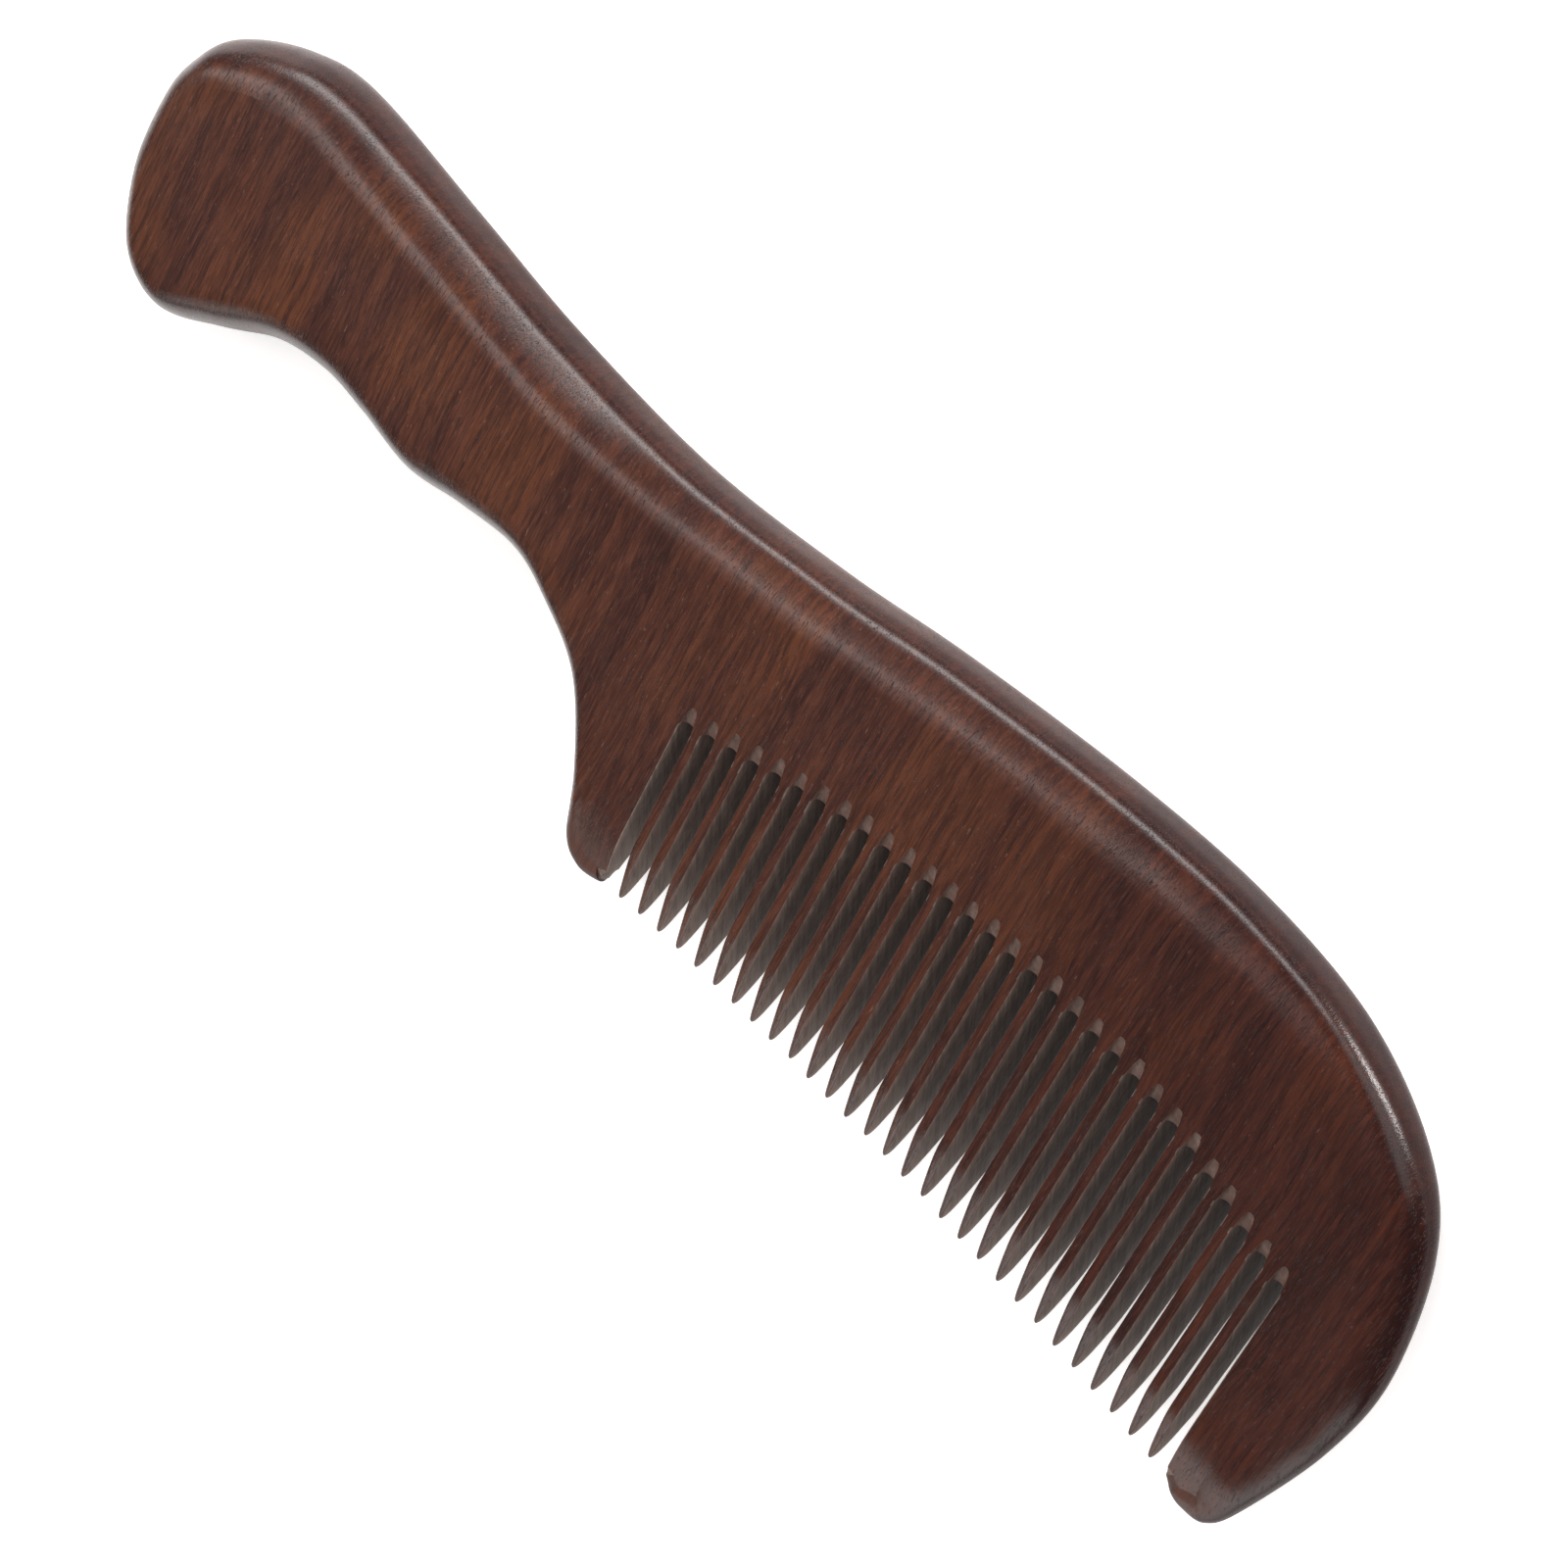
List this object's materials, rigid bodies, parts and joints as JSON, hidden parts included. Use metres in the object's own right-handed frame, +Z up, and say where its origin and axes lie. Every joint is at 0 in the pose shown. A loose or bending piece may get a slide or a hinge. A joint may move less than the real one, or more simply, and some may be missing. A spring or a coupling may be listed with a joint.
{
  "type": "hair comb",
  "caption": "Handled wooden hair comb with a thick curved back, a tapered face, rounded end guards and one row of evenly spaced, long tapered teeth.",
  "frame": {"origin": "centre of the footprint, on the surface that the comb lies flat on", "axes": "+X along the comb from the butt of the handle to the toe, +Y from the tooth tips to the back, +Z up through the thickness"},
  "size_m": [0.1992, 0.055, 0.011],
  "materials": {
    "polished_wood": "dark reddish-brown hardwood, hand-polished to a satin gloss, straight grain parallel to the teeth",
    "tooth_wood": "the same hardwood, glossy on the flat faces and matte where sawn and sanded"
  },
  "bodies": {
    "root": {"handle": "polished_wood", "back_rail": "polished_wood", "web": "polished_wood", "heel_guard": "polished_wood", "toe_guard": "polished_wood", "tooth_01": "tooth_wood", "tooth_02": "tooth_wood", "tooth_03": "tooth_wood", "tooth_04": "tooth_wood", "tooth_05": "tooth_wood", "tooth_06": "tooth_wood", "tooth_07": "tooth_wood", "tooth_08": "tooth_wood", "tooth_09": "tooth_wood", "tooth_10": "tooth_wood", "tooth_11": "tooth_wood", "tooth_12": "tooth_wood", "tooth_13": "tooth_wood", "tooth_14": "tooth_wood", "tooth_15": "tooth_wood", "tooth_16": "tooth_wood", "tooth_17": "tooth_wood", "tooth_18": "tooth_wood", "tooth_19": "tooth_wood", "tooth_20": "tooth_wood", "tooth_21": "tooth_wood", "tooth_22": "tooth_wood", "tooth_23": "tooth_wood", "tooth_24": "tooth_wood", "tooth_25": "tooth_wood", "tooth_26": "tooth_wood", "tooth_27": "tooth_wood", "tooth_28": "tooth_wood", "tooth_29": "tooth_wood"}
  },
  "joints": []
}
